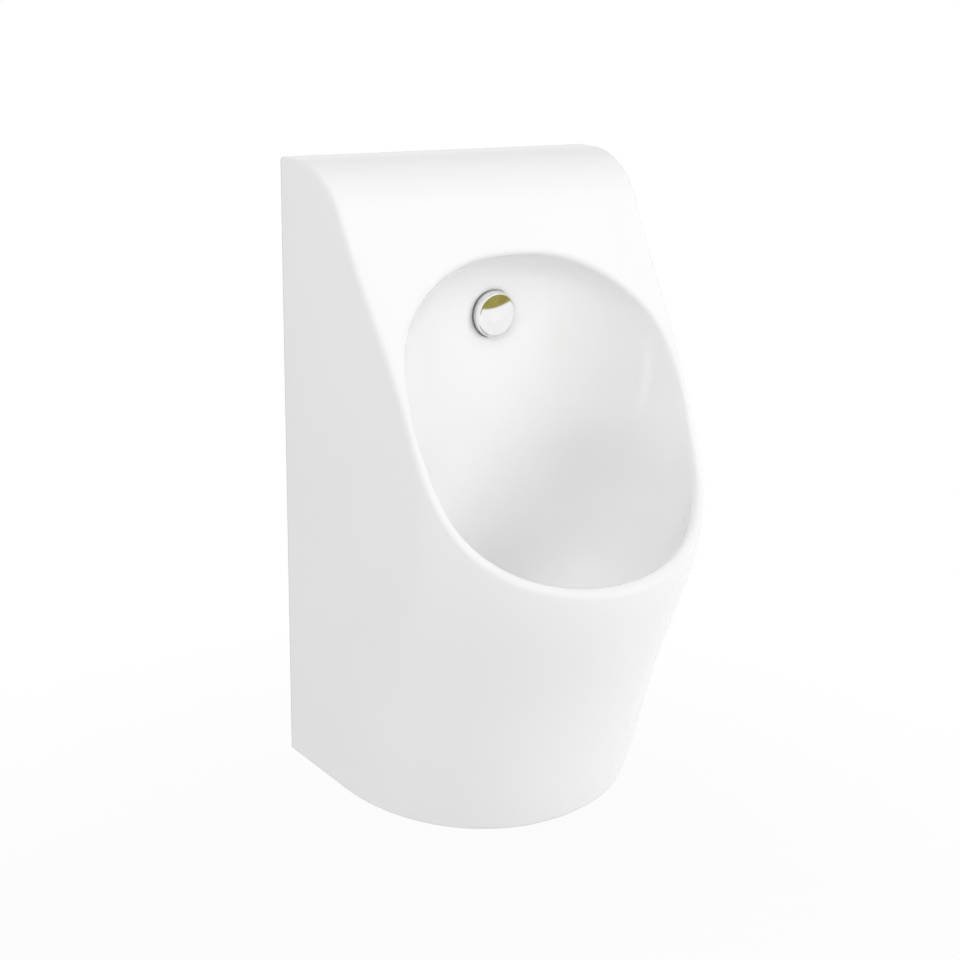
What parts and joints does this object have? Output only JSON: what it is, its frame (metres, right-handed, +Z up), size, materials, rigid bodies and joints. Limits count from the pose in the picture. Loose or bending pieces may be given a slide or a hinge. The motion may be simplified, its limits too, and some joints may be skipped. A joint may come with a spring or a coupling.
{
  "type": "urinal",
  "caption": "Wall-hung ceramic urinal with a deep oval bowl, round chromed spray head, drain, bottle trap, hidden flush valve and hanger plate",
  "frame": {"origin": "on the wall plane, on the centre line, at the lower edge of the ceramic", "axes": "+X to the viewer's right, +Y into the wall, +Z up; the front faces -Y"},
  "size_m": [0.33, 0.3442, 0.577],
  "materials": {
    "glazed_ceramic": "glossy white glaze",
    "chrome": "polished",
    "brass": "turned",
    "steel": "brushed",
    "zinc_steel": "zinc plated",
    "rubber": "matte",
    "white_plastic": "moulded",
    "grey_plastic": "moulded",
    "black_plastic": "moulded",
    "board": "laminated"
  },
  "bodies": {
    "body": {"ceramic_body": "glazed_ceramic", "spray_gasket": "rubber", "spray_nozzle": "brass", "spray_washer": "rubber", "spray_locknut": "brass", "spray_elbow": "brass", "supply_pipe": "chrome", "pipe_nuts": "brass", "solenoid_body": "brass", "solenoid_diaphragm": "rubber", "solenoid_bonnet": "steel", "bonnet_screws": "zinc_steel", "solenoid_spring": "steel", "solenoid_coil": "black_plastic", "coil_nut": "zinc_steel", "stop_body": "brass", "stop_gland": "brass", "inlet_filter": "steel", "inlet_union": "brass", "control_base": "grey_plastic", "control_lid": "grey_plastic", "lid_screws": "zinc_steel", "control_board": "board", "control_battery": "black_plastic", "drain_gasket": "rubber", "drain_flange": "white_plastic", "drain_washer": "rubber", "drain_locknut": "white_plastic", "trap_body": "white_plastic", "trap_seal": "rubber", "trap_nut": "white_plastic", "outlet_pipe": "white_plastic", "outlet_seal": "rubber", "outlet_nut": "white_plastic", "wall_plate": "zinc_steel", "hanger_pads": "rubber", "wall_bolts": "zinc_steel", "bolt_washers": "zinc_steel", "bolt_nuts": "zinc_steel", "lower_sleeves": "white_plastic"},
    "cap": {"spray_cap": "chrome"},
    "strainer": {"drain_strainer": "chrome", "trap_insert": "white_plastic"},
    "cup": {"trap_cup": "white_plastic", "cup_seal": "rubber"},
    "stop": {"stop_plug": "brass", "stop_handle": "chrome"},
    "plunger": {"solenoid_plunger": "steel"}
  },
  "joints": [
    {"name": "cap_turn", "type": "hinge", "parent": "body", "child": "cap", "pos_m": [0, -0.092, 0.443], "axis": [0, -1, 0], "continuous": true},
    {"name": "strainer_lift", "type": "slide", "parent": "body", "child": "strainer", "axis": [0, 0, 1], "range_m": [0, 0.145]},
    {"name": "cup_lower", "type": "slide", "parent": "body", "child": "cup", "axis": [0, 0, -1], "range_m": [0, 0.03]},
    {"name": "stop_turn", "type": "hinge", "parent": "body", "child": "stop", "pos_m": [0.07, -0.032, 0.279], "axis": [0, 1, 0], "range_deg": [0, 90]},
    {"name": "plunger_lift", "type": "slide", "parent": "body", "child": "plunger", "axis": [0, 0, 1], "range_m": [0, 0.003], "stiffness_N_per_m": 300, "springref_m": -0.002, "deforming": ["solenoid_spring"]}
  ]
}
